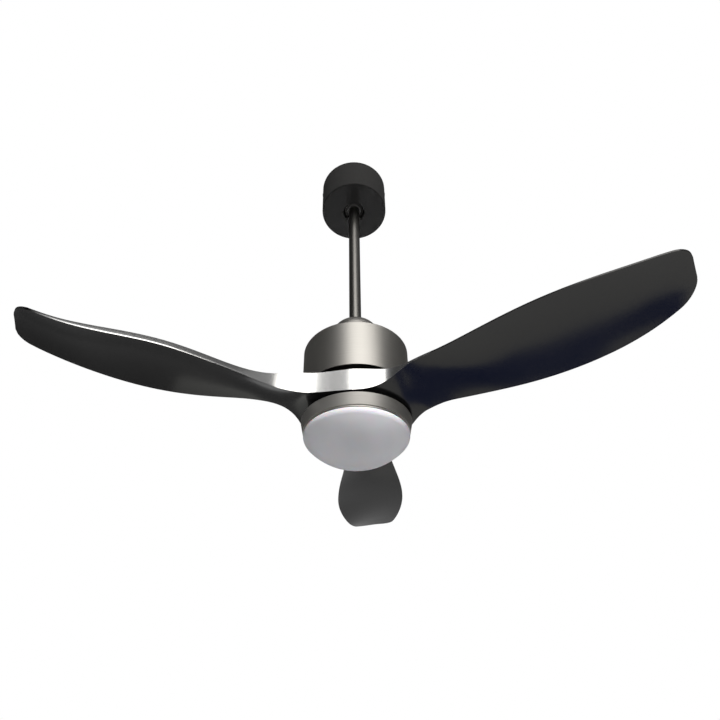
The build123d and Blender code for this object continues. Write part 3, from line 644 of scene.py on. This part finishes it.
lamp("front_softbox", softbox_turn, softbox_rise, softbox_size, softbox_power, softbox_colour)
fill = lamp("front_fill", fill_turn, fill_rise, fill_size, fill_power, fill_colour)
fill.visible_glossy = False
for name, turn, power in side_lamps:
    lamp(name, turn, 0.0, side_size, power, side_colour).visible_glossy = False
canopy_lamp = lamp(
    "canopy_lamp", math.pi, 0.0, canopy_lamp_size, canopy_lamp_power, (1.0, 1.0, 1.0)
)
canopy_lamp.location = canopy_lamp_place
canopy_lamp.rotation_euler = Vector(canopy_lamp_heading).to_track_quat("-Z", "Y").to_euler()
canopy_lamp.data.spread = canopy_lamp_spread
canopy_lamp.visible_camera = False
canopy_lamp.visible_glossy = False


# Cards, mat and the round of ceiling with painted shade

def glow(name, colour=(0.0, 0.0, 0.0)):
    """Black surface that gives off only a little light of its own."""
    material = bpy.data.materials.new(name)
    material.use_nodes = True
    shader = material.node_tree.nodes["Principled BSDF"]
    shader.inputs["Base Color"].default_value = (0.0, 0.0, 0.0, 1.0)
    shader.inputs["Specular IOR Level"].default_value = 0.0
    shader.inputs["Emission Color"].default_value = (*colour, 1.0)
    shader.inputs["Emission Strength"].default_value = 1.0
    return material, shader


def only_reflected(card):
    """The card shows in reflections and nowhere else."""
    card.visible_camera = False
    card.visible_diffuse = False
    card.visible_shadow = False
    card.visible_transmission = False


def ring_of_cards(name, look, keep, radius, foot, top, **grey):
    """Upright cards in a ring, on the bearings that keep allows, with their grey by bearing."""
    bpy.ops.object.select_all(action="DESELECT")
    bpy.ops.mesh.primitive_cylinder_add(
        vertices=180, radius=radius, depth=top - foot, end_fill_type="NOTHING"
    )
    cards = bpy.context.object
    cards.name = name
    bpy.ops.object.mode_set(mode="EDIT")
    bpy.ops.mesh.select_mode(type="FACE")
    bpy.ops.mesh.select_all(action="DESELECT")
    bpy.ops.object.mode_set(mode="OBJECT")
    for face in cards.data.polygons:
        face.select = not keep(math.atan2(face.center.x, -face.center.y))
    bpy.ops.object.mode_set(mode="EDIT")
    bpy.ops.mesh.delete(type="FACE")
    bpy.ops.object.mode_set(mode="OBJECT")
    cards.location.z = hub_level + (foot + top) / 2
    only_reflected(cards)
    material, shader = glow(look)
    tree = material.node_tree
    place = tree.nodes.new("ShaderNodeTexCoord")
    shade = tree.nodes.new("ShaderNodeGroup")
    shade.node_tree = bpy.data.node_groups["bearing_grey"]
    for label, value in grey.items():
        shade.inputs[label].default_value = value
    tree.links.new(place.outputs["Object"], shade.inputs["Place"])
    tree.links.new(shade.outputs["Grey"], shader.inputs["Emission Color"])
    cards.data.materials.append(material)
    return cards


def beside_gap(bearing):
    return card_gap < abs(bearing - card_turn) < upper_cards_end


def at_high_card(bearing):
    return high_card_start < bearing < high_card_end


def at_left_rear(bearing):
    return side_card_start < bearing < side_card_end


def at_rear(bearing):
    return abs(bearing) > rear_card_start


upper_cards = ring_of_cards(
    "upper_cards", "grey_card", beside_gap, card_radius, upper_cards_foot, card_top,
    Middle=card_turn, Start=card_gap, Reach=card_fade, Fall=5.0, Dark=0.07, Light=0.80,
)
high_card = ring_of_cards(
    "high_card", "high_grey_card", at_high_card, radius=1.5, foot=1.45, top=3.4,
    Middle=high_card_start, Start=0.0, Reach=4.0, Fall=2.0, Dark=0.0, Light=0.42,
)
low_card = ring_of_cards(
    "low_card", "low_grey_card", at_left_rear, side_card_radius, foot=side_card_join, top=0.33,
    Middle=side_card_middle, Start=0.0, Reach=1.0, Fall=2.0, Dark=0.10, Light=0.165,
)
foot_card = ring_of_cards(
    "foot_card", "foot_grey_card", at_left_rear, side_card_radius, foot=-1.7, top=side_card_join,
    Middle=side_card_middle, Start=0.0, Reach=1.0, Fall=2.0, Dark=0.15, Light=0.26,
)
rear_card = ring_of_cards(
    "rear_card", "rear_grey_card", at_rear, radius=2.8, foot=-1.72, top=card_top,
    Middle=0.0, Start=0.0, Reach=9.0, Fall=2.0, Dark=0.0, Light=1.05,
)

bpy.ops.object.select_all(action="DESELECT")
bpy.ops.mesh.primitive_grid_add(x_subdivisions=len(mat_far) - 1, y_subdivisions=1, size=1.0)
dark_mat = bpy.context.object
dark_mat.name = "dark_mat"
for v in dark_mat.data.vertices:
    edge = mat_far if v.co.y > 0 else mat_near
    v.co = (*edge[round((v.co.x + 0.5) * (len(edge) - 1))], floor_height + mat_lift)
dark_mat.data.materials.append(glow("blue_black_mat", mat_colour)[0])
only_reflected(dark_mat)

# A small pale card behind and below the hub, which lights its underside beside the ring
bpy.ops.object.select_all(action="DESELECT")
bpy.ops.mesh.primitive_plane_add(size=1.0)
hub_card = bpy.context.object
hub_card.name = "hub_card"
for v in hub_card.data.vertices:
    reach, head = hub_card_right if v.co.x > 0 else hub_card_left
    v.co = (reach, hub_card_depth, head if v.co.y > 0 else hub_card_foot)
hub_card.data.materials.append(glow("pale_hub_card", hub_card_colour)[0])
only_reflected(hub_card)

bpy.ops.object.select_all(action="DESELECT")
bpy.ops.mesh.primitive_circle_add(
    vertices=96, radius=card_radius, fill_type="NGON", location=(0, 0, hub_level + card_top)
)
top_card = bpy.context.object
top_card.name = "top_card"
top_card.data.materials.append(glow("top_grey_card", top_card_colour)[0])
only_reflected(top_card)

# A round of ceiling behind the canopy's mouth, clear from above and black from below: painted shade inside
# the canopy's mouth
bpy.ops.object.select_all(action="DESELECT")
bpy.ops.mesh.primitive_circle_add(
    vertices=64, radius=mouth_radius, fill_type="NGON", location=(0, 0, mouth_lift)
)
ceiling = bpy.context.object
ceiling.name = "painted_shade_disc"
ceiling_look, ceiling_shader = glow("painted_shade_black")
tree = ceiling_look.node_tree
side = tree.nodes.new("ShaderNodeNewGeometry")
clear = tree.nodes.new("ShaderNodeBsdfTransparent")
both = tree.nodes.new("ShaderNodeMixShader")
tree.links.new(side.outputs["Backfacing"], both.inputs[0])
tree.links.new(clear.outputs[0], both.inputs[1])
tree.links.new(ceiling_shader.outputs[0], both.inputs[2])
tree.links.new(both.outputs[0], tree.nodes["Material Output"].inputs["Surface"])
ceiling.data.materials.append(ceiling_look)
ceiling.visible_diffuse = False
ceiling.visible_glossy = False
ceiling.visible_shadow = False

# Camera
bpy.ops.object.camera_add(location=camera_place)
camera = bpy.context.object
camera.name = "photo_camera"
camera.rotation_mode = "ZYX"
camera.rotation_euler = (math.pi / 2 + camera_pitch, 0.0, camera_roll)
camera.data.lens = camera_lens
camera.data.shift_x, camera.data.shift_y = camera_shift
bpy.context.scene.camera = camera
bpy.context.scene.view_settings.view_transform = "Standard"
